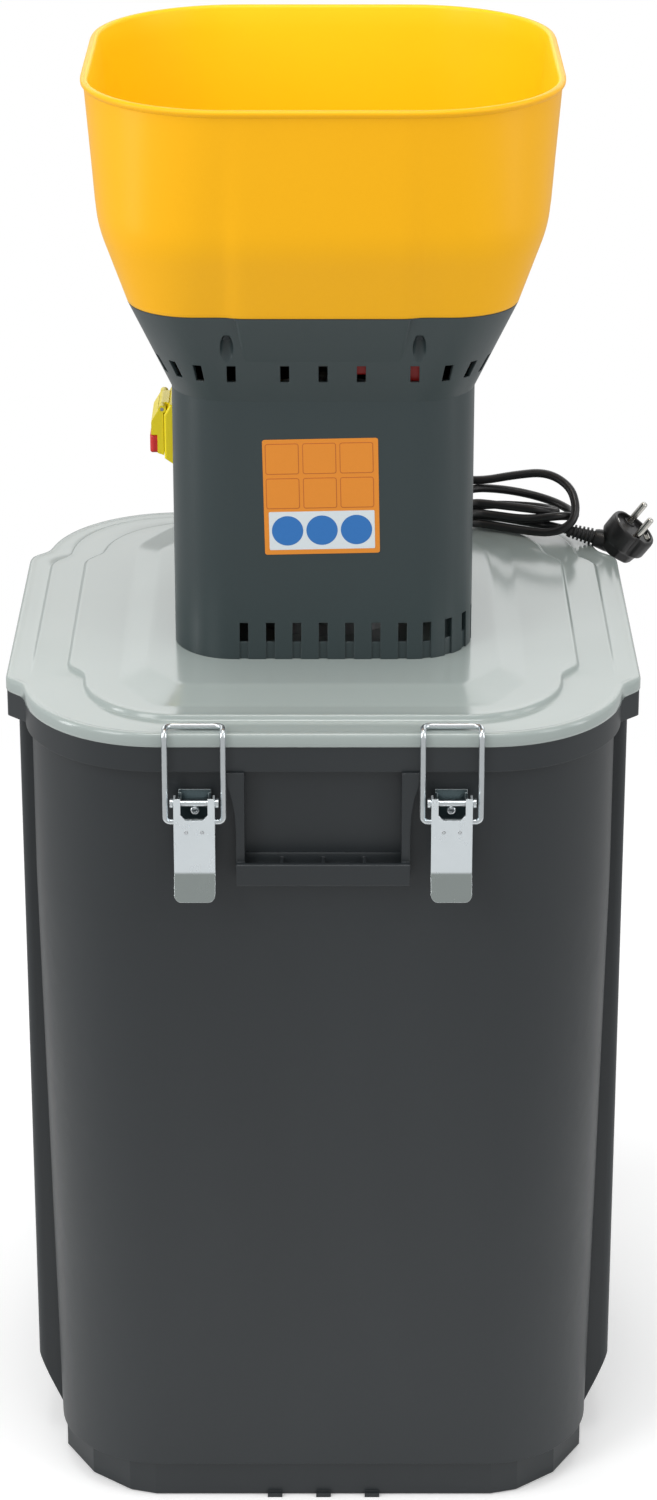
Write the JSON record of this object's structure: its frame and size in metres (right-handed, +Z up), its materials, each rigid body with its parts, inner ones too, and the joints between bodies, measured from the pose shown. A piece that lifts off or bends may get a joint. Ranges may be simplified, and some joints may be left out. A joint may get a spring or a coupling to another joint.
{
  "type": "electric grain mill",
  "caption": "Electric grain mill: square storage bin with a latched lid, a vented motor tower on the lid and a flared feed hopper on top.",
  "frame": {"origin": "under the middle of the bin, at floor height", "axes": "+Z up, -Y towards the front with the pair of latches and the grip, -X towards the wall with the switch"},
  "size_m": [0.4372, 0.4434, 0.956],
  "materials": {
    "bin_plastic": "fine grained, slightly glossy",
    "lid_plastic": "satin gloss",
    "housing_plastic": "satin",
    "hopper_plastic": "satin gloss",
    "switch_plastic": "satin gloss",
    "red_plastic": "satin gloss",
    "green_plastic": "satin gloss",
    "black_plastic": "satin",
    "latch_steel": "bright zinc plated",
    "steel": "satin",
    "core_steel": "laminated",
    "aluminium": "cast",
    "brass": "satin",
    "pin_metal": "nickel plated",
    "copper": "enamelled copper",
    "carbon": "dull carbon",
    "rubber": "matt",
    "cord_sheath": "satin"
  },
  "bodies": {
    "mill": {"bin_tub": "bin_plastic", "brush_holders": "brass", "carbon_brushes": "carbon", "chamber_plate": "steel", "chamber_studs": "steel", "cord_gland": "rubber", "cord_hank": "cord_sheath", "cord_tail": "cord_sheath", "cord_tie": "black_plastic", "feed_chute": "steel", "field_windings": "copper", "flap_pin": "steel", "front_handle": "bin_plastic", "hopper": "hopper_plastic", "hopper_screws": "steel", "housing_screws": "steel", "latch_bases": "latch_steel", "latch_pins": "latch_steel", "latch_screws": "steel", "lead_connector": "red_plastic", "lid": "lid_plastic", "lid_seal": "rubber", "lower_bearing": "steel", "lower_end_shield": "aluminium", "mains_cord": "cord_sheath", "motor_bolts": "steel", "motor_housing": "housing_plastic", "plug_body": "black_plastic", "plug_pins": "pin_metal", "rear_handle": "bin_plastic", "shaft_seal": "rubber", "sieve_floor": "steel", "sieve_ring": "steel", "stator_core": "core_steel", "switch_box": "switch_plastic", "upper_bearing": "steel", "upper_end_shield": "aluminium", "wing_nuts": "steel"},
    "rotor": {"motor_shaft": "steel", "armature_core": "core_steel", "armature_windings": "copper", "commutator": "copper", "cooling_fan": "black_plastic", "blade_hub": "steel", "beater_blade": "steel", "blade_nut": "steel"},
    "gate": {"feed_gate": "red_plastic", "gate_knob": "red_plastic"},
    "flap": {"switch_flap": "switch_plastic", "stop_paddle": "red_plastic"},
    "start": {"start_button": "green_plastic"},
    "stop": {"stop_button": "red_plastic"},
    "lever_front_left": {"latch_lever_front_left": "latch_steel"},
    "bail_front_left": {"latch_bail_front_left": "latch_steel"},
    "lever_front_right": {"latch_lever_front_right": "latch_steel"},
    "bail_front_right": {"latch_bail_front_right": "latch_steel"},
    "lever_rear_left": {"latch_lever_rear_left": "latch_steel"},
    "bail_rear_left": {"latch_bail_rear_left": "latch_steel"},
    "lever_rear_right": {"latch_lever_rear_right": "latch_steel"},
    "bail_rear_right": {"latch_bail_rear_right": "latch_steel"}
  },
  "joints": [
    {"name": "rotor_spin", "type": "hinge", "parent": "mill", "child": "rotor", "pos_m": [0, 0, 0.65], "axis": [0, 0, 1], "continuous": true},
    {"name": "gate_slide", "type": "slide", "parent": "mill", "child": "gate", "axis": [0, 1, 0], "range_m": [0, 0.026]},
    {"name": "flap_hinge", "type": "hinge", "parent": "mill", "child": "flap", "pos_m": [-0.1052, 0, 0.7255], "axis": [0, 1, 0], "range_deg": [0, 100]},
    {"name": "start_press", "type": "slide", "parent": "mill", "child": "start", "axis": [1, 0, 0], "range_m": [0, 0.0022], "stiffness_N_per_m": 600, "springref_m": -0.002},
    {"name": "stop_press", "type": "slide", "parent": "mill", "child": "stop", "axis": [1, 0, 0], "range_m": [0, 0.0022], "stiffness_N_per_m": 600, "springref_m": -0.002},
    {"name": "lever_front_left_turn", "type": "hinge", "parent": "mill", "child": "lever_front_left", "pos_m": [-0.0805, -0.208, 0.529], "axis": [-1, 0, 0], "range_deg": [0, 105]},
    {"name": "bail_front_left_turn", "type": "hinge", "parent": "lever_front_left", "child": "bail_front_left", "pos_m": [-0.0805, -0.207, 0.516], "axis": [-1, 0, 0], "range_deg": [-121, 0]},
    {"name": "lever_front_right_turn", "type": "hinge", "parent": "mill", "child": "lever_front_right", "pos_m": [0.0805, -0.208, 0.529], "axis": [-1, 0, 0], "range_deg": [0, 105]},
    {"name": "bail_front_right_turn", "type": "hinge", "parent": "lever_front_right", "child": "bail_front_right", "pos_m": [0.0805, -0.207, 0.516], "axis": [-1, 0, 0], "range_deg": [-121, 0]},
    {"name": "lever_rear_left_turn", "type": "hinge", "parent": "mill", "child": "lever_rear_left", "pos_m": [-0.0805, 0.208, 0.529], "axis": [1, 0, 0], "range_deg": [0, 105]},
    {"name": "bail_rear_left_turn", "type": "hinge", "parent": "lever_rear_left", "child": "bail_rear_left", "pos_m": [-0.0805, 0.207, 0.516], "axis": [1, 0, 0], "range_deg": [-121, 0]},
    {"name": "lever_rear_right_turn", "type": "hinge", "parent": "mill", "child": "lever_rear_right", "pos_m": [0.0805, 0.208, 0.529], "axis": [1, 0, 0], "range_deg": [0, 105]},
    {"name": "bail_rear_right_turn", "type": "hinge", "parent": "lever_rear_right", "child": "bail_rear_right", "pos_m": [0.0805, 0.207, 0.516], "axis": [1, 0, 0], "range_deg": [-121, 0]}
  ],
  "couplings": [
    {"joint": "bail_front_left_turn", "follows": "lever_front_left_turn", "ratio": -1.15},
    {"joint": "bail_front_right_turn", "follows": "lever_front_right_turn", "ratio": -1.15},
    {"joint": "bail_rear_left_turn", "follows": "lever_rear_left_turn", "ratio": -1.15},
    {"joint": "bail_rear_right_turn", "follows": "lever_rear_right_turn", "ratio": -1.15}
  ]
}
